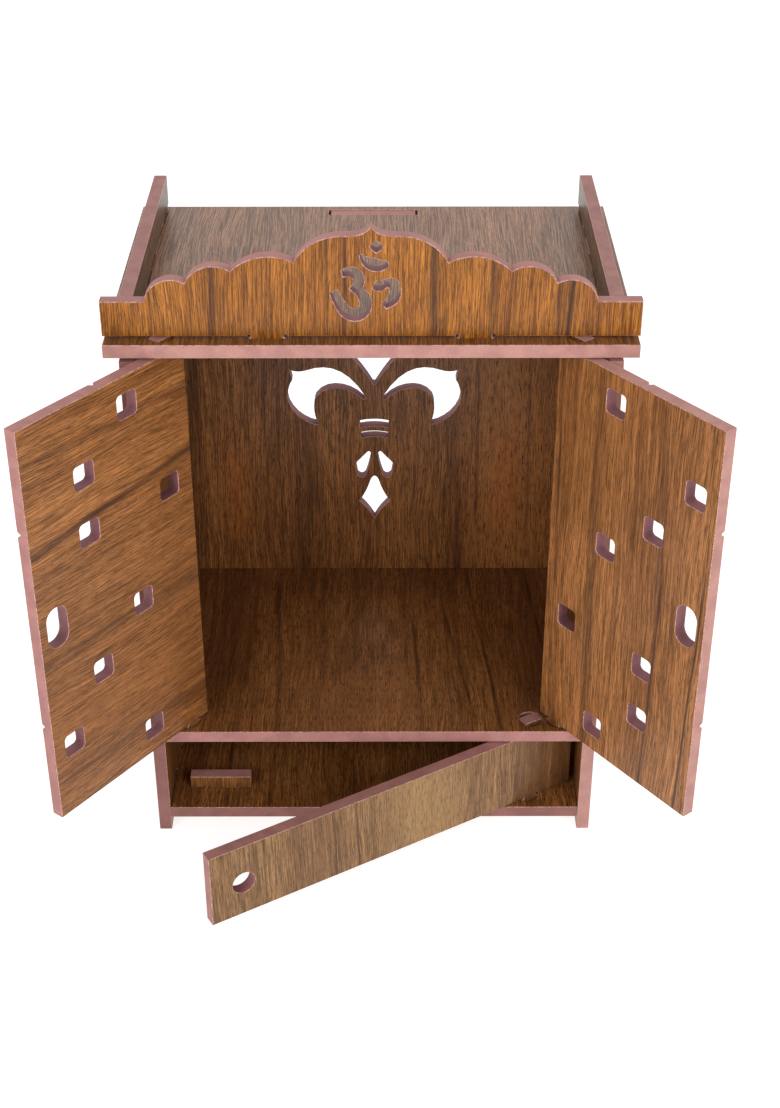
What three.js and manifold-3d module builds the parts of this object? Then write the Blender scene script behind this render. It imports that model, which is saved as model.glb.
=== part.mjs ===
// A small household altar cabinet cut from laminated fibreboard and slotted together with tabs.
// Millimetres, +Z up, front of the cabinet towards -Y, standing open as in use.
import * as THREE from 'three';
import { mergeVertices } from 'three/addons/utils/BufferGeometryUtils.js';
import Module from 'manifold-3d';

const wasm = await Module();
wasm.setup();

// Driving dimensions: boards and their joints
const BOARD = 8;
const FIT = 0.3;
const SHOULDER_GAP = 2;
const TAB_RELIEF = 1.2;
const TAB_WIDTH = 26;
const OVERCUT = 1;

// Driving dimensions: the case
const CASE_WIDTH = 281;
const CASE_DEPTH = 205;
const INNER_HALF = CASE_WIDTH / 2 - BOARD;
const BOTTOM_TOP = 18;
const SHELF_TOP = 80;
const ROOF_TOP = 350;
const ROOF_UNDER = ROOF_TOP - BOARD;
const ROOF_WIDTH = 298;
const BACK_INSET = 6;
const BACK_FRONT = CASE_DEPTH - BACK_INSET - BOARD;
const BACK_LOW = BOTTOM_TOP - BOARD;
const BACK_TAB_WIDTH = 54;
const BACK_TAB_PLAY = 1.2;
const SIDE_TOP_TABS = [40, 140];
const RAIL_TABS = [90, 182];
const SHELF_TABS = [52, 138];
const BACK_TABS = [120, 262];

// Driving dimensions: the crown and rails on the roof
const CROWN_WIDTH = 300;
const CROWN_FRONT = 9;
const CROWN_GAP = 1.1;
const CROWN_BASE = ROOF_TOP + SHOULDER_GAP;
const CROWN_END_HEIGHT = 20;
const CROWN_TAB = { at: 58, width: 20.5 };
const RAIL_TOP = 371;

// Driving dimensions: doors, from the pivot line outwards
const DOOR_PIVOT_X = 117.5;
const DOOR_PIVOT_Y = 11.5;
const DOOR_BEHIND = 13.2;
const DOOR_REACH = 115.7;
const DOOR_GAP = 1.2;
const DOOR_OPEN = THREE.MathUtils.degToRad(127);
const DOOR_MIDDLE = (SHELF_TOP + ROOF_UNDER) / 2;
const DOOR_HALF_HEIGHT = (ROOF_UNDER - SHELF_TOP) / 2 - DOOR_GAP;
const DOOR_PEG_PAST = 0.4;
const GRID_PITCH = 65;
const GRID_LINE = 52.6;
const GRID_OFFSET = 18.3;
const SQUARE_HOLE = { size: 15, corner: 2.6 };
const PULL_HOLE = { at: 102, width: 15.4, height: 26, corner: 7 };
const GROOVE = { width: 3.6, depth: 3.2 };

// Driving dimensions: the swinging front of the lower compartment
const FLAP_PIVOT_X = 100;
const FLAP_PIVOT_Y = 13;
const FLAP_REACH = 231;
const FLAP_BEHIND = 31;
const FLAP_GAP = 1;
const FLAP_OPEN = THREE.MathUtils.degToRad(31);
const FLAP_PEG_UP = 0.8;
const FLAP_HOLE = { at: 209, rise: 24, size: 15 };

// Driving dimensions: pivot pegs, their holes and the door stop
const PEG_WIDTH = 12;
const PEG_HOLE = 15;
const STOP = { middle: -101, width: 39.5, front: 20, height: 9, tab: 22 };

// Finishes: brown wood-grain laminate, a little lighter where the sheet was cut from paler stock
const laminate = new THREE.MeshStandardMaterial({ color: 0x86552f, roughness: 0.42, metalness: 0 });
const paleLaminate = new THREE.MeshStandardMaterial({ color: 0xa67840, roughness: 0.42, metalness: 0 });

// Outlines

const point = (x, y) => new THREE.Vector2(x, y);

// An opening with four corner arcs of the given radius, or with square corners
function opening(x, y, width, height, radius = 0) {
  const shape = new THREE.Shape();
  const corners = [[1, -1], [1, 1], [-1, 1], [-1, -1]];
  corners.forEach(([signX, signY], index) => {
    const turn = (index - 1) * Math.PI / 2;
    const middleX = x + signX * (width / 2 - radius);
    const middleY = y + signY * (height / 2 - radius);
    if (radius > 0) {
      shape.absarc(middleX, middleY, radius, turn, turn + Math.PI / 2, false);
    } else if (index === 0) {
      shape.moveTo(middleX, middleY);
    } else {
      shape.lineTo(middleX, middleY);
    }
  });
  shape.closePath();
  return shape;
}

const roundHole = (x, y, size) => opening(x, y, size, size, size / 2);

// A slot that takes a tab with a little play all round
const slot = (x, y, width, height) => opening(x, y, width + 2 * FIT, height + 2 * FIT);

// One straight edge walked anticlockwise, with tabs that stand out from it
// and a small round relief drilled into each corner beside a tab
function walkEdge(shape, from, to, tabs = []) {
  const along = to.clone().sub(from).normalize();
  const out = point(along.y, -along.x);
  const middle = from.clone().add(to).multiplyScalar(0.5);
  const angle = (vector) => Math.atan2(vector.y, vector.x);
  const ordered = tabs.map((tab) => ({ ...tab, place: tab.at.clone().sub(middle).dot(along) }));
  ordered.sort((a, b) => a.place - b.place);
  for (const tab of ordered) {
    const centre = middle.clone().addScaledVector(along, tab.place);
    const first = centre.clone().addScaledVector(along, -tab.width / 2);
    const last = centre.clone().addScaledVector(along, tab.width / 2);
    const back = angle(along.clone().negate());
    shape.lineTo(first.x + TAB_RELIEF * Math.cos(back), first.y + TAB_RELIEF * Math.sin(back));
    shape.absarc(first.x, first.y, TAB_RELIEF, back, angle(out), true);
    const firstTip = first.clone().addScaledVector(out, tab.reach);
    const lastTip = last.clone().addScaledVector(out, tab.reach);
    shape.lineTo(firstTip.x, firstTip.y);
    shape.lineTo(lastTip.x, lastTip.y);
    shape.absarc(last.x, last.y, TAB_RELIEF, angle(out), angle(along), true);
  }
  shape.lineTo(to.x, to.y);
}

// A rectangular board outline with tabs on any of its edges
function boardOutline(left, right, low, high, tabs = {}) {
  const corners = [point(left, low), point(right, low), point(right, high), point(left, high)];
  const edges = ['low', 'right', 'high', 'left'];
  const shape = new THREE.Shape();
  shape.moveTo(left, low);
  edges.forEach((edge, index) => {
    walkEdge(shape, corners[index], corners[(index + 1) % 4], tabs[edge]);
  });
  return shape;
}

// Tabs of the usual width at given places along an upright or a level edge
const tabsAcross = (places, reach) => places.map((x) => ({ at: point(x, 0), width: TAB_WIDTH, reach }));
const tabsUp = (places, reach) => places.map((y) => ({ at: point(0, y), width: TAB_WIDTH, reach }));

// An arc from one point to another that bulges up to the given height above the chord
function arcBetween(shape, from, to, bulge) {
  const chord = to.clone().sub(from);
  const half = chord.length() / 2;
  const radius = (half * half + bulge * bulge) / (2 * bulge);
  const side = point(chord.y, -chord.x).normalize();
  const centre = from.clone().add(to).multiplyScalar(0.5).addScaledVector(side, bulge - radius);
  const start = Math.atan2(from.y - centre.y, from.x - centre.x);
  const end = Math.atan2(to.y - centre.y, to.x - centre.x);
  shape.absarc(centre.x, centre.y, radius, start, end, false);
}

// A brush stroke: a smooth centre line with a width that swells between its ends
function stroke(places, widths, steps = 12) {
  const line = new THREE.SplineCurve(places.map(([x, y]) => point(x, y)));
  const swell = new THREE.SplineCurve(widths.map((width, index) => point(index, width / 2)));
  const sides = [[], []];
  for (let step = 0; step <= steps; step += 1) {
    const share = step / steps;
    const tangent = line.getTangent(share);
    const across = point(-tangent.y, tangent.x).multiplyScalar(swell.getPoint(share).y);
    sides[0].push(line.getPoint(share).add(across));
    sides[1].push(line.getPoint(share).sub(across));
  }
  return new THREE.Shape([...sides[1], ...sides[0].reverse()]);
}

// Cutting: closed meshes become solids, and the cut solid becomes a mesh again

function toSolid(geometry) {
  const bare = geometry.clone();
  bare.deleteAttribute('normal');
  bare.deleteAttribute('uv');
  const merged = mergeVertices(bare);
  return new wasm.Manifold(new wasm.Mesh({
    numProp: 3,
    vertProperties: new Float32Array(merged.attributes.position.array),
    triVerts: new Uint32Array(merged.index.array),
  }));
}

function cut(geometry, tools) {
  let solid = toSolid(geometry);
  for (const tool of tools) {
    solid = solid.subtract(toSolid(tool));
  }
  const mesh = solid.getMesh();
  const result = new THREE.BufferGeometry();
  result.setAttribute('position', new THREE.BufferAttribute(new Float32Array(mesh.vertProperties), 3));
  result.setIndex(new THREE.BufferAttribute(new Uint32Array(mesh.triVerts), 1));
  result.computeVertexNormals();
  return result;
}

// Boards: an outline given the board's thickness, pierced, and stood or laid in its plane

function prism(shape, thickness, detail) {
  return new THREE.ExtrudeGeometry(shape, { depth: thickness, bevelEnabled: false, curveSegments: detail });
}

function pierce(shape, holes = [], detail = 4) {
  const punches = holes.map((hole) => prism(hole, BOARD + 2 * OVERCUT, detail).translate(0, 0, -OVERCUT));
  return cut(prism(shape, BOARD, detail), punches);
}

// Outline in X and Z, thickness going back from the given front face
function facingBoard(shape, front, holes, detail) {
  const geometry = pierce(shape, holes, detail);
  return geometry.rotateX(Math.PI / 2).translate(0, front + BOARD, 0);
}

// Outline in X and Y, thickness going up from the given underside
function levelBoard(shape, under, holes, detail) {
  return pierce(shape, holes, detail).translate(0, 0, under);
}

// Outline in Y and Z, thickness going right from the given left face
function sideBoard(shape, leftFace, holes, detail) {
  const stand = new THREE.Matrix4().makeBasis(
    new THREE.Vector3(0, 1, 0),
    new THREE.Vector3(0, 0, 1),
    new THREE.Vector3(1, 0, 0),
  );
  return pierce(shape, holes, detail).applyMatrix4(stand).translate(leftFace, 0, 0);
}

const cabinet = new THREE.Group();
cabinet.name = 'altar_cabinet';

function addPiece(name, geometry, material = laminate, parent = cabinet) {
  const mesh = new THREE.Mesh(geometry, material);
  mesh.name = name;
  parent.add(mesh);
  return mesh;
}

// Side panels: stand on the floor, with slots for the level boards and the back, and tabs into the roof

const TAB_REACH = BOARD - FIT + SHOULDER_GAP;

function sidePanel(leftFace) {
  const outline = boardOutline(0, CASE_DEPTH, 0, ROOF_UNDER - SHOULDER_GAP, {
    high: tabsAcross(SIDE_TOP_TABS, TAB_REACH),
  });
  const slots = [];
  for (const top of [BOTTOM_TOP, SHELF_TOP]) {
    for (const place of SHELF_TABS) {
      slots.push(slot(place, top - BOARD / 2, TAB_WIDTH, BOARD));
    }
  }
  for (const place of BACK_TABS) {
    slots.push(slot(BACK_FRONT + BOARD / 2, place, BOARD, TAB_WIDTH));
  }
  return sideBoard(outline, leftFace, slots);
}

addPiece('left_side_panel', sidePanel(-CASE_WIDTH / 2));
addPiece('right_side_panel', sidePanel(INNER_HALF));

// Bottom and shelf: level boards hung between the sides by their end tabs, drilled for the pivot pegs

function levelPanel(top, holes) {
  const half = INNER_HALF - FIT;
  const ends = tabsUp(SHELF_TABS, BOARD);
  const outline = boardOutline(-half, half, 0, BACK_FRONT - FIT, { left: ends, right: ends });
  return levelBoard(outline, top - BOARD, holes);
}

const flapHole = roundHole(FLAP_PIVOT_X, FLAP_PIVOT_Y, PEG_HOLE);
const doorHoles = [-1, 1].map((side) => roundHole(side * DOOR_PIVOT_X, DOOR_PIVOT_Y, PEG_HOLE));
const stopSlot = slot(STOP.middle, STOP.front + BOARD / 2, STOP.tab, BOARD);

addPiece('bottom_panel', levelPanel(BOTTOM_TOP, [flapHole, stopSlot]));
addPiece('shelf', levelPanel(SHELF_TOP, [flapHole, ...doorHoles]));

// Stop block: a short strip on edge behind the swinging front, tabbed into the bottom panel

function stopBlock() {
  const half = STOP.width / 2;
  const tab = { at: point(STOP.middle, 0), width: STOP.tab, reach: BOARD - FIT };
  const outline = boardOutline(STOP.middle - half, STOP.middle + half, BOTTOM_TOP + FIT,
    BOTTOM_TOP + STOP.height, { low: [tab] });
  return facingBoard(outline, STOP.front);
}

addPiece('stop_block', stopBlock());

// Back panel: pierced with a lily of two curled horns, a spear, two bands, two leaves and a drop

const LILY_TOP = 296;
const LILY_DETAIL = 7;
const HORN_TIP = point(-57.3, 239.2);

function lilyHorn(side) {
  const path = new THREE.Shape();
  path.moveTo(side * HORN_TIP.x, HORN_TIP.y);
  path.quadraticCurveTo(side * -52.5, 236.4, side * -45.4, 238.6);
  path.bezierCurveTo(side * -32, 243.6, side * -18.6, 241.2, side * -5.2, 217.6);
  path.lineTo(side * -7.2, 216.4);
  path.bezierCurveTo(side * -15.5, 226.2, side * -32.5, 229.6, side * -39.6, 218.4);
  path.bezierCurveTo(side * -42.4, 212, side * -41, 204, side * -38.2, 196.9);
  path.bezierCurveTo(side * -50, 198.4, side * -61.5, 212, side * -58.4, 223);
  path.quadraticCurveTo(side * -57.6, 228, side * -55.3, 231.4);
  path.closePath();
  return path;
}

function lilySpear() {
  const path = new THREE.Shape();
  path.moveTo(0.8, 228);
  path.quadraticCurveTo(7, 239.5, 17, 251);
  path.bezierCurveTo(19, 264, 6, 277, 0, LILY_TOP);
  path.bezierCurveTo(-6, 277, -19, 264, -17, 251);
  path.quadraticCurveTo(-7, 239.5, -0.8, 228);
  path.closePath();
  return path;
}

function lilyBand(middle, half, thickness, rise) {
  const path = new THREE.Shape();
  path.moveTo(-half, middle - thickness / 2 - rise);
  path.quadraticCurveTo(0, middle - thickness / 2 + rise, half, middle - thickness / 2 - rise);
  path.lineTo(half, middle + thickness / 2 - rise);
  path.quadraticCurveTo(0, middle + thickness / 2 + rise, -half, middle + thickness / 2 - rise);
  path.closePath();
  return path;
}

function lilyLeaf(side) {
  const path = new THREE.Shape();
  path.moveTo(side * -4.6, 176);
  path.quadraticCurveTo(side * -1.9, 176.8, side * -2.6, 171.5);
  path.quadraticCurveTo(side * -4, 163, side * -6.2, 157);
  path.quadraticCurveTo(side * -8.6, 153.6, side * -11.6, 157);
  path.lineTo(side * -13.1, 166.6);
  path.closePath();
  return path;
}

function lilyDrop() {
  const path = new THREE.Shape();
  path.moveTo(0, 156.6);
  path.quadraticCurveTo(2.4, 156, 3.6, 150.8);
  path.quadraticCurveTo(6.4, 142.4, 10.8, 136.4);
  path.quadraticCurveTo(4.4, 130.6, 0, 122);
  path.quadraticCurveTo(-4.4, 130.6, -10.8, 136.4);
  path.quadraticCurveTo(-6.4, 142.4, -3.6, 150.8);
  path.quadraticCurveTo(-2.4, 156, 0, 156.6);
  path.closePath();
  return path;
}

function backPanel() {
  const half = INNER_HALF - FIT;
  const ends = tabsUp(BACK_TABS, BOARD);
  const roofTab = { at: point(0, 0), width: BACK_TAB_WIDTH, reach: TAB_REACH };
  const outline = boardOutline(-half, half, BACK_LOW, ROOF_UNDER - SHOULDER_GAP, {
    left: ends,
    right: ends,
    high: [roofTab],
  });
  const lily = [
    lilyHorn(1),
    lilyHorn(-1),
    lilySpear(),
    lilyBand(198.7, 9.8, 5.6, 1.1),
    lilyBand(190.2, 9.2, 4.4, 1.2),
    lilyLeaf(1),
    lilyLeaf(-1),
    lilyDrop(),
  ];
  return facingBoard(outline, BACK_FRONT, lily, LILY_DETAIL);
}

addPiece('back_panel', backPanel());

// Roof board: laid over the sides, slotted for every tab and drilled for the doors' upper pegs

function roofBoard() {
  const half = ROOF_WIDTH / 2;
  const wallMiddle = INNER_HALF + BOARD / 2;
  const holes = [-1, 1].map((side) => roundHole(side * DOOR_PIVOT_X, DOOR_PIVOT_Y, PEG_HOLE));
  for (const side of [-1, 1]) {
    for (const place of [...SIDE_TOP_TABS, ...RAIL_TABS]) {
      holes.push(slot(side * wallMiddle, place, BOARD, TAB_WIDTH));
    }
    holes.push(slot(side * CROWN_TAB.at, CROWN_FRONT + BOARD / 2, CROWN_TAB.width, BOARD));
  }
  holes.push(slot(0, BACK_FRONT + BOARD / 2, BACK_TAB_WIDTH + 2 * BACK_TAB_PLAY, BOARD));
  return levelBoard(boardOutline(-half, half, 0, CASE_DEPTH), ROOF_UNDER, holes);
}

addPiece('roof_board', roofBoard());

// Crown: a scalloped fascia tabbed into the roof, pierced with the sacred syllable's traditional sign

// Left half of the skyline above the crown's base line: the cusps between its lobes,
// each followed by how far the lobe after it bulges over its chord. The lower edge drops
// a little below that line and clears the roof by a fine gap.
const CUSPS = [[-125.3, CROWN_END_HEIGHT, 6.6], [-102.3, 31, 6], [-77, 38, 5.8], [-42.2, 43.1, 0]];
const CROWN_APEX = 63.8;
const CROWN_DETAIL = 8;

function crownOutline() {
  const half = CROWN_WIDTH / 2;
  const low = ROOF_TOP + CROWN_GAP - CROWN_BASE;
  const tabs = [-1, 1].map((side) => ({
    at: point(side * CROWN_TAB.at, 0),
    width: CROWN_TAB.width,
    reach: CROWN_GAP + BOARD - FIT,
  }));
  const shape = new THREE.Shape();
  shape.moveTo(-half, low);
  walkEdge(shape, point(-half, low), point(half, low), tabs);
  shape.lineTo(half, CROWN_END_HEIGHT);
  const cusps = CUSPS.map(([x, height]) => point(-x, height));
  shape.lineTo(cusps[0].x, cusps[0].y);
  CUSPS.slice(0, -1).forEach(([, , bulge], index) => {
    arcBetween(shape, cusps[index], cusps[index + 1], bulge);
  });
  shape.bezierCurveTo(37, 53, 27.5, 58.2, 16, 58.4);
  shape.bezierCurveTo(9.5, 58.4, 4, 58.2, 0, CROWN_APEX);
  shape.bezierCurveTo(-4, 58.2, -9.5, 58.4, -16, 58.4);
  shape.bezierCurveTo(-27.5, 58.2, -37, 53, -42.2, 43.1);
  const leftCusps = CUSPS.map(([x, height]) => point(x, height)).reverse();
  CUSPS.slice(0, -1).reverse().forEach(([, , bulge], index) => {
    arcBetween(shape, leftCusps[index], leftCusps[index + 1], bulge);
  });
  shape.lineTo(-half, CROWN_END_HEIGHT);
  shape.closePath();
  return shape;
}

// The sign as five strokes: a hooked upper curl, a deep lower bowl, a tail, a crescent and a dot
const SIGN = [
  stroke([[-15.8, 36.6], [-11, 37.7], [-6.9, 34.8], [-7.2, 29.6], [-10.8, 26.6]], [3.6, 6, 6, 5.6, 3.4]),
  stroke(
    [[-9.2, 27.4], [-4.6, 24.2], [-2.9, 18.6], [-5, 13.4], [-9.6, 12], [-14.4, 14.4], [-18, 20], [-20.6, 26]],
    [3, 6, 6.4, 6.8, 7.4, 6.6, 5.6, 4.4],
    18,
  ),
  stroke(
    [[1.8, 30.2], [4.6, 28.8], [8.2, 31], [12, 30.6], [13.4, 26.4], [11.8, 21.4], [7.2, 17.2]],
    [5, 5.4, 4.4, 6.4, 5.6, 6.4, 3.4],
    16,
  ),
  stroke([[-5.8, 47.6], [-2, 43.4], [3.6, 41.4], [9.4, 42]], [1.2, 6, 7, 3]),
  stroke([[3, 55.4], [3, 52.2], [3, 49]], [1, 7, 1], 8),
];

addPiece('crown', facingBoard(crownOutline(), CROWN_FRONT, SIGN, CROWN_DETAIL)).position.z = CROWN_BASE;

// Roof rails: low strips along both sides of the roof, behind the crown

function roofRail(leftFace) {
  const low = ROOF_TOP + SHOULDER_GAP;
  const outline = boardOutline(CROWN_FRONT + BOARD + FIT, CASE_DEPTH, low, RAIL_TOP, {
    low: tabsAcross(RAIL_TABS, TAB_REACH),
  });
  return sideBoard(outline, leftFace);
}

addPiece('left_roof_rail', roofRail(-CASE_WIDTH / 2));
addPiece('right_roof_rail', roofRail(INNER_HALF));

// Doors: pegs on the hinge side run in the roof and the shelf. Each is laid out from its pivot line,
// at mid height, and pierced on a square grid. The right door is the left one turned upside down.

// Square holes, as grid crossing across and up, and the diagonal step from it
const DOOR_PIERCING = [
  [0, 2, -1, -1],
  [0, 1, 1, 1],
  [-1, 1, 1, -1],
  [0, 1, 1, -1],
  [0, 0, -1, -1],
  [0, -1, 1, 1],
  [1, -1, -1, -1],
  [0, -2, -1, 1],
];

// A long V-shaped cutter lying along a groove on the door's outer face
function grooveCutter(length) {
  const half = GROOVE.width / 2;
  const spare = 1;
  const wide = half * (1 + spare / GROOVE.depth);
  const section = new THREE.Shape([point(-wide, -spare), point(wide, -spare), point(0, GROOVE.depth)]);
  return prism(section, length, 1).translate(0, 0, -length / 2);
}

function doorPanel() {
  const peg = { at: point(0, 0), width: PEG_WIDTH, reach: DOOR_GAP + BOARD + DOOR_PEG_PAST };
  const outline = boardOutline(-DOOR_BEHIND, DOOR_REACH, -DOOR_HALF_HEIGHT, DOOR_HALF_HEIGHT, {
    low: [peg],
    high: [peg],
  });
  const holes = DOOR_PIERCING.map(([across, up, stepX, stepZ]) => opening(
    GRID_LINE + across * GRID_PITCH + stepX * GRID_OFFSET,
    up * GRID_PITCH + stepZ * GRID_OFFSET,
    SQUARE_HOLE.size,
    SQUARE_HOLE.size,
    SQUARE_HOLE.corner,
  ));
  holes.push(opening(PULL_HOLE.at, 0, PULL_HOLE.width, PULL_HOLE.height, PULL_HOLE.corner));
  const board = facingBoard(outline, -BOARD / 2, holes);
  const longWay = 4 * DOOR_HALF_HEIGHT;
  const upright = grooveCutter(longWay).translate(GRID_LINE, -BOARD / 2, 0);
  const levels = [-1, 1].map((row) => {
    const lying = grooveCutter(longWay).rotateY(Math.PI / 2);
    return lying.translate(0, -BOARD / 2, row * GRID_PITCH);
  });
  return cut(board, [upright, ...levels]);
}

function hangDoor(name, side) {
  const hinge = new THREE.Group();
  hinge.position.set(side * DOOR_PIVOT_X, DOOR_PIVOT_Y, DOOR_MIDDLE);
  hinge.rotation.z = side * DOOR_OPEN;
  cabinet.add(hinge);
  const door = addPiece(name, doorPanel(), laminate, hinge);
  if (side > 0) {
    door.rotation.y = Math.PI;
  }
}

hangDoor('left_door', -1);
hangDoor('right_door', 1);

// Swinging front of the lower compartment: a strip on two pegs near its right end, with a finger hole

function flapPanel() {
  const low = BOTTOM_TOP + FLAP_GAP;
  const high = SHELF_TOP - BOARD - FLAP_GAP;
  const peg = { at: point(0, 0), width: PEG_WIDTH };
  const outline = boardOutline(-FLAP_REACH, FLAP_BEHIND, low, high, {
    low: [{ ...peg, reach: BOARD + FLAP_GAP - FIT }],
    high: [{ ...peg, reach: BOARD + FLAP_GAP + FLAP_PEG_UP }],
  });
  const finger = roundHole(-FLAP_HOLE.at, low + FLAP_HOLE.rise, FLAP_HOLE.size);
  return facingBoard(outline, -BOARD / 2, [finger]);
}

const flapHinge = new THREE.Group();
flapHinge.position.set(FLAP_PIVOT_X, FLAP_PIVOT_Y, 0);
flapHinge.rotation.z = FLAP_OPEN;
cabinet.add(flapHinge);
addPiece('swing_front', flapPanel(), paleLaminate, flapHinge);

// Origin on the floor, under the middle of the whole open cabinet
const span = new THREE.Box3().setFromObject(cabinet);
cabinet.position.y = -(span.min.y + span.max.y) / 2;

export default cabinet;
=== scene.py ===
"""A small household altar cabinet of laminated fibreboard, standing open on a white studio floor."""
import math

import bmesh
import bpy
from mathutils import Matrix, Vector


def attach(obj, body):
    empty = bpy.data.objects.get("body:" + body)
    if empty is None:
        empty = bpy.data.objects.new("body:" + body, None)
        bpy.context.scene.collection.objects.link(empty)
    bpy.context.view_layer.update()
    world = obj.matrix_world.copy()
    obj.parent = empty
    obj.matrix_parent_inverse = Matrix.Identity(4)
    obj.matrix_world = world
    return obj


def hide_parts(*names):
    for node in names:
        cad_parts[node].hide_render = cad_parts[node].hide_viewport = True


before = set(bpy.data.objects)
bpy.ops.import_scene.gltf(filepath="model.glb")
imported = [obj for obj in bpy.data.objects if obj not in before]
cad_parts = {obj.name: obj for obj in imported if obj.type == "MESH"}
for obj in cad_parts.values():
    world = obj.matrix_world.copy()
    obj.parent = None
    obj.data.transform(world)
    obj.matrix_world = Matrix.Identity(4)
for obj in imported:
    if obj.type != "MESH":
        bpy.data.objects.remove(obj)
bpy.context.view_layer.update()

# Side panels
# Two uprights of 8 mm fibreboard with a printed walnut laminate pressed on both faces. They stand on the
# floor, their router-cut edges left raw and pink, and the level boards' tabs come through their slots.
MM = 0.001
RIGHT, BACK, UP = Vector((1, 0, 0)), Vector((0, 1, 0)), Vector((0, 0, 1))


class Shade:
    """A socket of a node tree. Sums and products of these add the nodes that work them out."""

    def __init__(self, tree, socket=None):
        self.tree = tree
        self.socket = socket

    def node(self, kind, settings=None, sockets=None, output=0):
        """One of a new node's outputs, its settings made first and then its sockets set or linked."""
        made = self.tree.nodes.new(kind)
        for name, value in (settings or {}).items():
            setattr(made, name, value)
        for name, value in (sockets or {}).items():
            if isinstance(value, Shade):
                self.tree.links.new(value.socket, made.inputs[name])
            else:
                made.inputs[name].default_value = value
        return Shade(self.tree, made.outputs[output])

    def _is_vector(self, *others):
        kinds = [other.socket.type for other in (self, *others) if isinstance(other, Shade)]
        return any(kind in ("VECTOR", "RGBA") for kind in kinds) or any(
            isinstance(other, (tuple, Vector)) for other in others)

    def work(self, operation, *values):
        """Values, colours or vectors worked together by a Math or Vector Math node."""
        if self._is_vector(*values):
            values = [(value,) * 3 if isinstance(value, (int, float)) else value for value in values]
            return self.node("ShaderNodeVectorMath", {"operation": operation}, dict(enumerate(values)))
        return self.node("ShaderNodeMath", {"operation": operation}, dict(enumerate(values)))

    def __add__(self, other): return self.work("ADD", self, other)
    def __radd__(self, other): return self.work("ADD", other, self)
    def __sub__(self, other): return self.work("SUBTRACT", self, other)
    def __rsub__(self, other): return self.work("SUBTRACT", other, self)
    def __mul__(self, other): return self.work("MULTIPLY", self, other)
    def __rmul__(self, other): return self.work("MULTIPLY", other, self)
    def __truediv__(self, other): return self.work("DIVIDE", self, other)
    def __abs__(self): return self.work("ABSOLUTE", self)

    def along(self, direction):
        """How far a place lies along a direction."""
        sockets = {0: self, 1: tuple(direction)}
        return self.node("ShaderNodeVectorMath", {"operation": "DOT_PRODUCT"}, sockets, "Value")

    def fade(self, none, full):
        """0 at one value and 1 at another, easing between them."""
        sockets = {"Value": self, "From Min": none, "From Max": full}
        return self.node("ShaderNodeMapRange", {"interpolation_type": "SMOOTHSTEP"}, sockets)

    def noise(self, scale, detail=2.0, roughness=0.5):
        """Cloudy noise at a place, about a half on the whole."""
        sockets = {"Vector": self, "Scale": scale, "Detail": detail, "Roughness": roughness}
        return self.node("ShaderNodeTexNoise", {}, sockets)

    def mix(self, first, second):
        """Two colours blended by this value."""
        colours = [value if isinstance(value, Shade) else (*value, 1) for value in (first, second)]
        sockets = {0: self, 6: colours[0], 7: colours[1]}
        return self.node("ShaderNodeMix", {"data_type": "RGBA"}, sockets, 2)


def new_material(name):
    """A named material with its shader, and a start for the shader's maths."""
    material = bpy.data.materials.new(name)
    material.use_nodes = True
    return material, Shade(material.node_tree), material.node_tree.nodes["Principled BSDF"]


def feed(shader, **values):
    """Links or sets the shader's sockets, named with underscores for spaces."""
    for name, value in values.items():
        socket = shader.inputs[name.replace("_", " ")]
        if isinstance(value, Shade):
            value.tree.links.new(value.socket, socket)
        else:
            socket.default_value = value


HONEY, WALNUT, UMBER = (0.30, 0.120, 0.030), (0.165, 0.060, 0.014), (0.040, 0.014, 0.006)
PALE_FIBRE, DARK_FIBRE = (1.58, 1.62, 1.95), (0.52, 0.48, 0.32)
FINE_PORES, SATIN = 0.64, 0.35
# Each kind of streak: its width and length in millimetres, its detail, and where it starts and is full.
BAND, LINE = (26, 600, 1.0, 0.36, 0.64), (3.6, 160, 3.0, 0.34, 0.66)
FIBRE, PORE = (0.42, 26, 3.0, 0.38, 0.62), (0.32, 6.0, 2.0, 0.52, 0.62)
SWAY_WIDTH, SWAY_LENGTH, SWAY_REACH, VEIN_SWAY = 60, 150, 14, 0.35
VEIN_HEART, VEIN_FADE = 0.15, 22
STREAK_ROUGHNESS, FIBRE_RELIEF, PORE_DEPTH = 0.6, 0.3, 0.05 * MM


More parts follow.
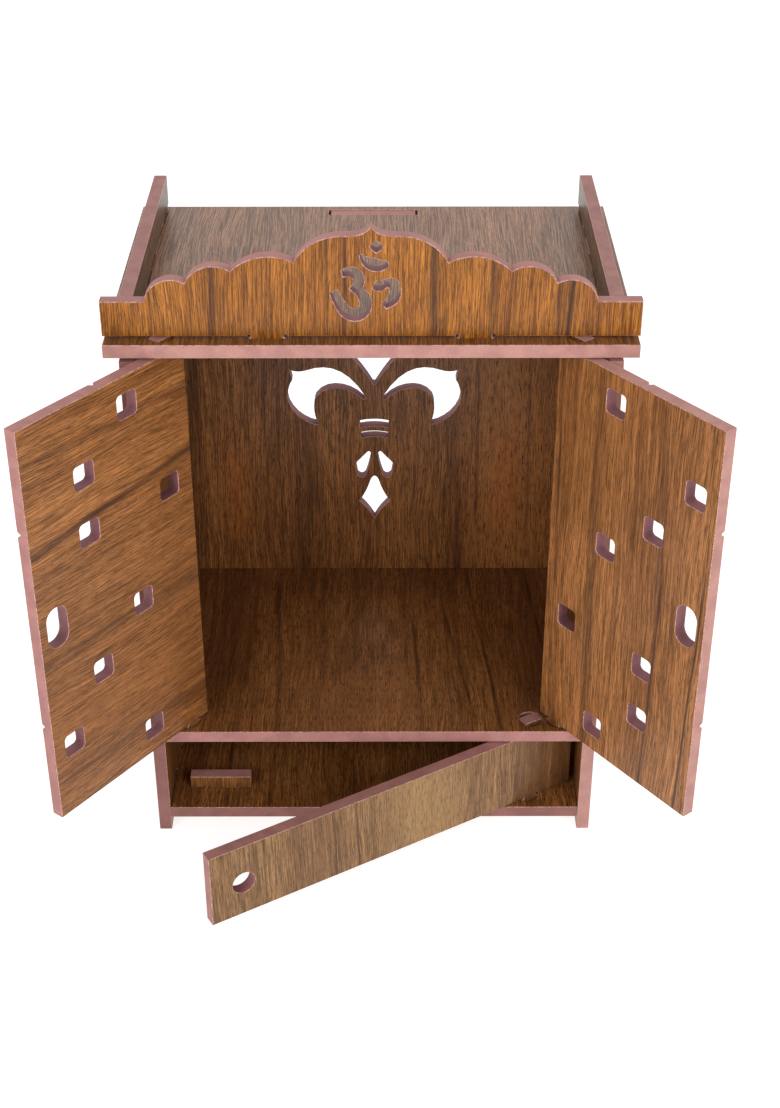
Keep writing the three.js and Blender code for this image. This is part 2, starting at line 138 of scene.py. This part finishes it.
def laminate(name, across, along, veins_and_painted_light=(), pale=HONEY, deep=WALNUT, shift=0.0, gloss=SATIN,
             open_pores=FINE_PORES):
    """Printed walnut under a satin film: bands, streaks, fibres and pores drawn out along the grain.

    Each vein runs from one (across, along) place to another, in millimetres, with its half width and its
    strength. A thin one is a growth line; on some boards the broad tinted ones are painted light and painted
    shade. It is dark unless a tint follows. The shift picks a stretch of the printed sheet."""
    material, shade, shader = new_material(name)
    place = shade.node("ShaderNodeTexCoord", output="Object") * (1 / MM)
    width, run = place.along(across), place.along(along)
    wander = {"X": width / SWAY_WIDTH, "Y": run / SWAY_LENGTH, "Z": shift}
    sway = (shade.node("ShaderNodeCombineXYZ", {}, wander).noise(1.0) - 0.5) * SWAY_REACH
    grain = width + sway

    def streaks(fine, long, detail, none, full):
        sockets = {"X": grain / fine, "Y": run / long, "Z": shift}
        drawn = shade.node("ShaderNodeCombineXYZ", {}, sockets).noise(1.0, detail, STREAK_ROUGHNESS)
        return drawn.fade(none, full)

    bands, lines, fibres, pores = streaks(*BAND), streaks(*LINE), streaks(*FIBRE), streaks(*PORE)
    colour = (bands * 0.5 + lines * 0.5).mix(pale, deep)
    colour = colour * fibres.mix(PALE_FIBRE, DARK_FIBRE)
    for start, end, half, strength, *tint in veins_and_painted_light:
        lean = (end[0] - start[0]) / (end[1] - start[1])
        offset = abs(width + sway * VEIN_SWAY - (run - start[1]) * lean - start[0])
        middle, reach = (start[1] + end[1]) / 2, abs(end[1] - start[1]) / 2
        ends = abs(run - middle).fade(reach + VEIN_FADE, reach)
        line = offset.fade(half, half * VEIN_HEART) * ends * (lines * 0.5 + 0.5) * strength
        colour = line.mix(colour, tint[0] if tint else UMBER)
    colour = (pores * open_pores).mix(colour, UMBER)
    height = fibres * FIBRE_RELIEF - pores
    bump = shade.node("ShaderNodeBump", {}, {"Strength": 0.25, "Distance": PORE_DEPTH, "Height": height})
    feed(shader, Base_Color=colour, Roughness=fibres * 0.16 + 0.30, Specular_IOR_Level=gloss, Normal=bump)
    return material


NAP_DEPTH = 0.1 * MM


def raw_core(name, light, dark):
    """Pressed wood fibre dyed pink, as a cutter leaves it: mottled, with specks and a matt nap."""
    material, shade, shader = new_material(name)
    place = shade.node("ShaderNodeTexCoord", output="Object") * (1 / MM)
    cloud = place.noise(0.09).fade(0.3, 0.7)
    speck = place.noise(1.6, 3.0, 0.7)
    colour = cloud.mix(light, dark) * (speck * 0.5 + 0.75)
    bump = shade.node("ShaderNodeBump", {}, {"Strength": 0.3, "Distance": NAP_DEPTH, "Height": speck})
    feed(shader, Base_Color=colour, Roughness=speck * 0.2 + 0.62, Normal=bump)
    return material


SOUND_LIP, CHIPPED_LIP = (0.36, 0.17, 0.11), (0.70, 0.42, 0.36)


def chipped_arris():
    """The film's broken lip where the cutter left the face: pale chips between stretches of sound film."""
    material, shade, shader = new_material("chipped_arris")
    place = shade.node("ShaderNodeTexCoord", output="Object") * (1 / MM)
    chip = place.noise(0.55, 3.0, 0.65).fade(0.40, 0.60)
    feed(shader, Base_Color=chip.mix(SOUND_LIP, CHIPPED_LIP), Roughness=chip * 0.3 + 0.5)
    return material


CORE = raw_core("raw_core", (0.47, 0.21, 0.185), (0.38, 0.165, 0.15))
# A darker copy of the raw core: painted shade, for sawn edges that sit in shade.
PAINTED_SHADE_CORE = raw_core("painted_shade_core", (0.28, 0.115, 0.097), (0.225, 0.090, 0.078))
# A lighter copy of the raw core: painted light, for sawn edges that catch more light.
PAINTED_LIGHT_CORE = raw_core("painted_light_core", (0.526, 0.262, 0.22), (0.426, 0.206, 0.178))
# The darker, mauve core on the walls of the holes is painted shade.
PAINTED_HOLE_SHADE = raw_core("painted_hole_shade_core", (0.30, 0.115, 0.125), (0.22, 0.085, 0.095))
ARRIS = chipped_arris()
FILM_FACE, EDGE_WALL, LIP, HOLE_WALL = range(4)
WALLS = (EDGE_WALL, HOLE_WALL)
LIP_WIDTH, LONGEST_LIP = 0.28 * MM, 1.6
WELD, FLAT, SHARP = 0.001 * MM, 0.02 * MM, math.radians(30)


def flood(face, kind):
    """Every face of one kind that can be reached from a face across shared edges."""
    reached, front = {face}, [face]
    while front:
        beside = {other for edge in front.pop().edges for other in edge.link_faces}
        fresh = {other for other in beside if other.material_index == kind} - reached
        reached |= fresh
        front.extend(fresh)
    return reached


def sort_faces(shape, facing):
    """Marks which faces carry film, which are the sawn outline and which line a hole."""
    for face in shape.faces:
        depths = [vert.co.dot(facing) for vert in face.verts]
        face.material_index = FILM_FACE if max(depths) - min(depths) < FLAT else HOLE_WALL
    walls = [face for face in shape.faces if face.material_index == HOLE_WALL]
    outermost = max(walls, key=lambda wall: max(vert.co.length for vert in wall.verts))
    for face in flood(outermost, HOLE_WALL):
        face.material_index = EDGE_WALL


def chamfer_lips(shape, facing, width):
    """Breaks the edge all round the film: the film draws back and the wall under it drops by one width.

    At a sharp corner the film draws back no farther than the longest lip, in widths."""
    film = [face for face in shape.faces if face.material_index == FILM_FACE]
    depths = [face.verts[0].co.dot(facing) for face in film]
    middle = (min(depths) + max(depths)) / 2
    lips = bmesh.ops.inset_region(shape, faces=film, thickness=width, use_boundary=True,
                                  use_even_offset=True)["faces"]
    for lip in lips:
        lip.material_index = LIP
    rim = {vert for lip in lips for vert in lip.verts}
    outer = {vert for vert in rim if any(face.material_index in WALLS for face in vert.link_faces)}
    for vert in rim - outer:
        root = next(edge.other_vert(vert) for edge in vert.link_edges if edge.other_vert(vert) in outer)
        reach = vert.co - root.co
        vert.co = root.co + reach * min(1, LONGEST_LIP * width / reach.length)
    for vert in outer:
        vert.co -= facing * math.copysign(width, vert.co.dot(facing) - middle)


def relay_film(shape, facing):
    """Lays each film anew between its drawn-back edges, so that no thin triangle is left turned over."""
    shape.faces.index_update()
    films = []
    for face in shape.faces:
        if face.material_index == FILM_FACE and not any(face in film for film in films):
            films.append(flood(face, FILM_FACE))
    for film in films:
        lean = sum(face.normal.dot(facing) * face.calc_area() for face in film)
        outward = facing * math.copysign(1, lean)
        rim = [edge for edge in shape.edges if len(film.intersection(edge.link_faces)) == 1]
        bmesh.ops.delete(shape, geom=sorted(film, key=lambda face: face.index), context="FACES")
        fresh = bmesh.ops.triangle_fill(shape, edges=rim, use_beauty=True, normal=outward)
        for face in fresh["geom"]:
            if isinstance(face, bmesh.types.BMFace):
                face.material_index = FILM_FACE
                if face.normal.dot(outward) < 0:
                    face.normal_flip()


def board(node, facing, film, body="case", core=CORE, lip=LIP_WIDTH):
    """The node's board with film on both faces, raw core round its outline, a darker core on the walls of its
    holes as painted shade, and a fine arris between."""
    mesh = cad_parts[node].data.copy()
    mesh.name = node + "_board"
    mesh.materials.clear()
    for finish in (film, core, ARRIS, PAINTED_HOLE_SHADE):
        mesh.materials.append(finish)
    shape = bmesh.new()
    shape.from_mesh(mesh)
    bmesh.ops.remove_doubles(shape, verts=shape.verts, dist=WELD)
    bmesh.ops.dissolve_degenerate(shape, edges=shape.edges, dist=WELD)
    sort_faces(shape, facing)
    chamfer_lips(shape, facing, lip)
    relay_film(shape, facing)
    for face in shape.faces:
        face.smooth = face.material_index in WALLS
    for edge in shape.edges:
        edge.smooth = edge.calc_face_angle(0) < SHARP
    shape.to_mesh(mesh)
    shape.free()
    piece = bpy.data.objects.new(mesh.name, mesh)
    bpy.context.scene.collection.objects.link(piece)
    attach(piece, body)
    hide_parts(node)


# The left panel's sawn edges take the darker core: painted shade.
board("left_side_panel", RIGHT, laminate("left_side_film", BACK, UP, shift=3.1), core=PAINTED_SHADE_CORE)
# The right panel's sawn edges take the lighter core: painted light.
board("right_side_panel", RIGHT, laminate("right_side_film", BACK, UP, shift=7.7), core=PAINTED_LIGHT_CORE)

# Bottom panel and shelf
# Level boards hung between the sides by their end tabs, with the grain running front to back and a few
# dark growth lines. The shelf is the altar's floor; round holes in both take the pivot pegs.
FRONT = -47.8
AMBER, RUSSET = (0.50, 0.19, 0.05), (0.085, 0.028, 0.010)
SHELF_VEINS_AND_PAINTED_LIGHT = [
    # The first two broad tints are painted shade and painted light: darker towards the rear under the roof,
    # lighter at the front centre.
    ((0, FRONT + 200), (0, FRONT + 165), 120, 0.35, RUSSET),
    ((-2, FRONT + 50), (-2, FRONT), 54, 0.35, AMBER),
    # The two broad russet tints at the left rear and on the right are partly the film's own tone and partly
    # painted shade.
    ((-112, FRONT + 190), (-118, FRONT + 60), 42, 0.75, RUSSET),
    ((108, FRONT + 190), (122, FRONT + 20), 40, 0.7, RUSSET),
    ((-67, FRONT + 160), (-60, FRONT), 3.4, 0.7),
    ((27, FRONT + 110), (31, FRONT), 1.8, 0.75),
    ((50, FRONT + 125), (62, FRONT + 30), 1.4, 0.8),
    ((66, FRONT + 190), (81, FRONT), 1.6, 0.95),
    ((105, FRONT + 190), (114, FRONT + 95), 2.0, 0.95),
]
BOTTOM_VEINS = [((-97, FRONT + 150), (-97, FRONT), 2.4, 0.8), ((-20, FRONT + 150), (-12, FRONT), 3.0, 0.5)]
COARSE_PORES = 0.92
BOTTOM_FILM = laminate("bottom_film", RIGHT, BACK, BOTTOM_VEINS, shift=11.3, open_pores=COARSE_PORES)
SHELF_FILM = laminate("shelf_film", RIGHT, BACK, SHELF_VEINS_AND_PAINTED_LIGHT, shift=14.9, open_pores=COARSE_PORES)
# The bottom panel's sawn edges take the darker core: painted shade.
board("bottom_panel", UP, BOTTOM_FILM, core=PAINTED_SHADE_CORE)
board("shelf", UP, SHELF_FILM)

# Stop block
# A short offcut of the same board, set on edge and tabbed down into the bottom panel. The swinging front
# closes against it.
STOP_VEINS = [((-101, 30), (-100, 10), 2.0, 0.6)]
board("stop_block", BACK, laminate("stop_film", RIGHT, UP, STOP_VEINS, shift=18.2))

# Back panel
# An upright board behind the niche, pierced right through with a lily and tabbed into the sides and the roof.
# The grain is upright, paler to the right, partly in the film and partly as painted light, with a broad dark
# flame left of the lily and thinner lines right.
RUST = (0.55, 0.16, 0.03)
BACK_VEINS_AND_PAINTED_LIGHT = [
    # The broad pale tint along the top is painted light; the broad pale tint on the right is partly the
    # film's tone and partly painted light.
    ((0, 345), (0, 320), 140, 0.6, AMBER),
    ((0, 60), (0, 10), 150, 0.35, RUSSET),
    ((92, 330), (92, 90), 48, 0.6, AMBER),
    ((-122, 300), (-124, 90), 7.0, 0.55),
    ((-52, 240), (-45, 140), 9.0, 0.45),
    ((-45, 140), (-52, 60), 11.0, 0.5),
    ((53, 200), (60, 80), 6.0, 0.5),
    ((-95, 165), (-95, 115), 13, 0.35, RUST),
    ((92, 185), (92, 120), 15, 0.35, RUST),
    ((69, 330), (72, 130), 2.0, 0.6),
    ((104, 330), (108, 120), 2.2, 0.6),
]
BACK_PALE, BACK_DEEP = (0.345, 0.138, 0.034), (0.19, 0.069, 0.017)
BACK_FILM = laminate("back_film", RIGHT, UP, BACK_VEINS_AND_PAINTED_LIGHT, BACK_PALE, BACK_DEEP, 21.5, open_pores=COARSE_PORES)
board("back_panel", BACK, BACK_FILM)

# Roof board
# Laid over the sides and slotted for every tab, with plain grain from front to back. Its satin film takes
# the pale studio behind it and turns grey when it is seen low.
ROOF_PALE, ROOF_DEEP = (0.27, 0.106, 0.026), (0.195, 0.074, 0.018)
BRIGHT_SATIN = 0.5
ROOF_FILM = laminate("roof_film", RIGHT, BACK, (), ROOF_PALE, ROOF_DEEP, 26.4, BRIGHT_SATIN)
# The roof's sawn edges take the lighter core: painted light.
board("roof_board", UP, ROOF_FILM, core=PAINTED_LIGHT_CORE)

# Crown
# A scalloped fascia tabbed into the roof's front and pierced with a traditional sign. It is cut from a
# warm, lively stretch of the sheet, with upright grain and several dark lines.
CROWN_VEINS = [
    ((-122, 375), (-123, 345), 2.0, 0.5),
    ((-87, 390), (-88, 345), 3.0, 0.5),
    ((-56, 400), (-57, 345), 5.0, 0.45),
    ((-24, 420), (-24, 345), 1.6, 0.75),
    ((-14, 420), (-15, 345), 1.6, 0.6),
    ((34, 420), (35, 345), 5.0, 0.7),
    ((66, 400), (66, 345), 1.8, 0.95),
    ((79, 400), (79, 345), 1.6, 0.5),
    ((104, 385), (104, 345), 3.5, 0.6),
    ((111, 385), (109, 345), 1.8, 0.95),
]
CROWN_PALE, CROWN_DEEP = (0.38, 0.132, 0.012), (0.20, 0.062, 0.006)
CROWN_LIP = 0.42 * MM
CROWN_FILM = laminate("crown_film", RIGHT, UP, CROWN_VEINS, CROWN_PALE, CROWN_DEEP, 31.7)
board("crown", BACK, CROWN_FILM, lip=CROWN_LIP)

# Roof rails
# Low strips of the same board along the roof's sides, tabbed down into it behind the crown. The grain runs
# lengthwise, and their sawn edges are a little duller.
RAIL_PALE, RAIL_DEEP = (0.18, 0.075, 0.020), (0.10, 0.039, 0.010)
DULL_CORE = raw_core("dull_core", (0.40, 0.185, 0.16), (0.323, 0.145, 0.13))
LEFT_RAIL_FILM = laminate("left_rail_film", UP, BACK, (), RAIL_PALE, RAIL_DEEP, 36.1)
RIGHT_RAIL_FILM = laminate("right_rail_film", UP, BACK, (), RAIL_PALE, RAIL_DEEP, 39.8)
board("left_roof_rail", RIGHT, LEFT_RAIL_FILM, core=DULL_CORE)
board("right_roof_rail", RIGHT, RIGHT_RAIL_FILM, core=DULL_CORE)

# Doors
# Pivot doors on pegs cut in one with the board, swung wide open. Both are the same pierced pattern; the
# left one's grain lies level and the right one's stands upright. Shallow V-grooves cross the outer faces.
DOOR_OPEN = math.radians(127)
DOOR_PIVOT = Vector((117.5, -36.3, 0))


def door_directions(side):
    """Outwards along the open door, and square to its faces."""
    out = Vector((side * -math.cos(DOOR_OPEN), -math.sin(DOOR_OPEN), 0))
    return out, Vector((out.y, -out.x, 0))


left_out, left_facing = door_directions(-1)
right_out, right_facing = door_directions(1)
left_start = Vector((-DOOR_PIVOT.x, DOOR_PIVOT.y, 0)).dot(left_out)
right_start = DOOR_PIVOT.dot(right_out)
LEFT_DOOR_VEINS_AND_PAINTED_SHADE = [
    # The first, broad walnut tint darkens the door towards its hinge: painted shade.
    ((212, left_start - 20), (212, left_start + 4), 190, 0.35, WALNUT),
    ((275, left_start - 14), (262, left_start + 116), 3.6, 0.85),
    ((187, left_start - 14), (188, left_start + 116), 7.0, 0.6),
    ((105, left_start - 12), (108, left_start + 116), 8.0, 0.25),
    ((135, left_start + 20), (135, left_start + 110), 26, 0.30, AMBER),
    ((315, left_start - 14), (318, left_start + 116), 4.0, 0.3),
]
RIGHT_DOOR_VEINS_AND_PAINTED_SHADE = [
    # The first, broad walnut tint darkens the upper part by the hinge: painted shade.
    ((right_start + 14, 345), (right_start + 14, 240), 36, 0.55, WALNUT),
    ((right_start - 10, 340), (right_start - 6, 200), 1.8, 0.8),
    ((right_start + 21, 330), (right_start + 26, 90), 5.0, 0.5),
    ((right_start + 73, 330), (right_start + 79, 215), 6.0, 0.5),
    ((right_start + 80, 215), (right_start + 77, 80), 1.8, 0.8),
    ((right_start + 112, 230), (right_start + 107, 80), 1.4, 0.95),
]
DOOR_PALE, DOOR_DEEP = (0.405, 0.162, 0.043), (0.244, 0.0915, 0.024)
LEFT_DOOR_FILM = laminate("left_door_film", UP, left_out, LEFT_DOOR_VEINS_AND_PAINTED_SHADE, DOOR_PALE, DOOR_DEEP, 43.3)
RIGHT_DOOR_FILM = laminate("right_door_film", right_out, UP, RIGHT_DOOR_VEINS_AND_PAINTED_SHADE, DOOR_PALE, DOOR_DEEP, 47.6)
board("left_door", left_facing, LEFT_DOOR_FILM, "left_door")
# The right door's sawn edges take the lighter core: painted light.
board("right_door", right_facing, RIGHT_DOOR_FILM, "right_door", core=PAINTED_LIGHT_CORE)

# Swinging front
# A strip on two pegs near its right end that closes the lower compartment, cut from paler, yellower film
# with upright grain. A round finger hole near its free end pulls it open.
FRONT_OPEN = math.radians(31)
FRONT_PIVOT = Vector((100, -34.8, 0))
front_out = Vector((-math.cos(FRONT_OPEN), -math.sin(FRONT_OPEN), 0))
front_facing = Vector((front_out.y, -front_out.x, 0))
front_start = FRONT_PIVOT.dot(front_out)
FLAXEN, CHESTNUT = (0.44, 0.25, 0.095), (0.15, 0.058, 0.020)
FRONT_VEINS_AND_PAINTED_SHADE = [
    ((front_start + 84, 75), (front_start + 82, 15), 46, 0.75, FLAXEN),
    ((front_start + 214, 75), (front_start + 212, 15), 22, 0.15, CHESTNUT),
    ((front_start + 160, 75), (front_start + 160, 15), 30, 0.45, CHESTNUT),
    # This strong chestnut tint at the pivot end, which lies in under the shelf, is painted shade.
    ((front_start - 12, 75), (front_start - 12, 15), 48, 0.9, CHESTNUT),
    ((front_start + 195, 75), (front_start + 194, 15), 1.6, 0.8),
    ((front_start + 147, 75), (front_start + 146, 15), 1.4, 0.75),
    ((front_start + 130, 75), (front_start + 129, 15), 1.4, 0.75),
    ((front_start + 11, 75), (front_start + 11, 15), 6.0, 0.5),
]
FRONT_PALE, FRONT_DEEP = (0.31, 0.158, 0.052), (0.17, 0.080, 0.024)
FRONT_FILM = laminate("front_film", front_out, UP, FRONT_VEINS_AND_PAINTED_SHADE, FRONT_PALE, FRONT_DEEP, 52.2)
board("swing_front", front_facing, FRONT_FILM, "swing_front", core=DULL_CORE)

# Floor
# A seamless white studio table, faintly mottled and lit from below, so that the cabinet throws hardly any
# shadow on it. It lies a hair under the cabinet's feet.
FLOOR_HALF, FLOOR_DROP = 8, 0.2 * MM
TABLE_WHITE, TABLE_MOTTLE, TABLE_GLOW = (0.50, 0.50, 0.50), (0.53, 0.53, 0.53), 0.8
floor_mesh = bpy.data.meshes.new("studio_floor")
corners = [(-FLOOR_HALF, -FLOOR_HALF, 0), (FLOOR_HALF, -FLOOR_HALF, 0),
           (FLOOR_HALF, FLOOR_HALF, 0), (-FLOOR_HALF, FLOOR_HALF, 0)]
floor_mesh.from_pydata(corners, [], [(0, 1, 2, 3)])
floor = bpy.data.objects.new("studio_floor", floor_mesh)
floor.location.z = -FLOOR_DROP
bpy.context.scene.collection.objects.link(floor)
white, shade, shader = new_material("studio_white")
mottle = shade.node("ShaderNodeTexCoord", output="Object").noise(3.0)
feed(shader, Base_Color=mottle.mix(TABLE_WHITE, TABLE_MOTTLE), Roughness=mottle * 0.1 + 0.7)
feed(shader, Emission_Color=(1, 1, 1, 1), Emission_Strength=TABLE_GLOW)
floor_mesh.materials.append(white)

# Light
# A white studio that is brightest behind the cabinet and dim towards the camera, with two broad soft boxes
# in front, left and right, about a metre above the cabinet. The right one is a little stronger.
BACKDROP_GLOW, ROOM_GLOW = 1.3, 0.28
world = bpy.data.worlds.new("studio")
world.use_nodes = True
backdrop = world.node_tree.nodes["Background"]
sky = Shade(world.node_tree).node("ShaderNodeTexCoord", output="Generated")
glow = sky.along(BACK).fade(-0.5, 0.95) * (BACKDROP_GLOW - ROOM_GLOW) + ROOM_GLOW
backdrop.inputs["Color"].default_value = (1, 1, 1, 1)
world.node_tree.links.new(glow.socket, backdrop.inputs["Strength"])
bpy.context.scene.world = world
SOFT_BOX_SIZE, SOFT_BOX_AIM = (1.2, 1.0), Vector((0, 0, 0.2))


def soft_box(name, place, watts):
    """A broad lamp on a stand, turned to the cabinet."""
    lamp = bpy.data.lights.new(name, "AREA")
    lamp.shape, lamp.energy = "RECTANGLE", watts
    lamp.size, lamp.size_y = SOFT_BOX_SIZE
    stand = bpy.data.objects.new(name, lamp)
    stand.location = place
    stand.rotation_euler = (SOFT_BOX_AIM - Vector(place)).to_track_quat("-Z", "Y").to_euler()
    bpy.context.scene.collection.objects.link(stand)


soft_box("left_soft_box", (-1.3, -1.9, 1.35), 22)
soft_box("right_soft_box", (1.3, -1.9, 1.35), 23)

# Camera
# Where the photographer stood: in front of the cabinet and above it, looking down at it through a lens of
# middling length.
CAMERA_PLACE = Vector((8.28, -952.53, 788.82)) * MM
LOOK_DOWN, LOOK_RIGHT = math.radians(32.46), math.radians(0.13)
FILM_HEIGHT, FOCAL_LENGTH = 24, 39.17
camera = bpy.data.objects.new("camera", bpy.data.cameras.new("camera"))
camera.location = CAMERA_PLACE
camera.rotation_euler = (math.pi / 2 - LOOK_DOWN, 0, -LOOK_RIGHT)
camera.data.sensor_fit = "VERTICAL"
camera.data.sensor_height = FILM_HEIGHT
camera.data.lens = FOCAL_LENGTH
bpy.context.scene.collection.objects.link(camera)
bpy.context.scene.camera = camera
bpy.context.scene.view_settings.view_transform = "Standard"
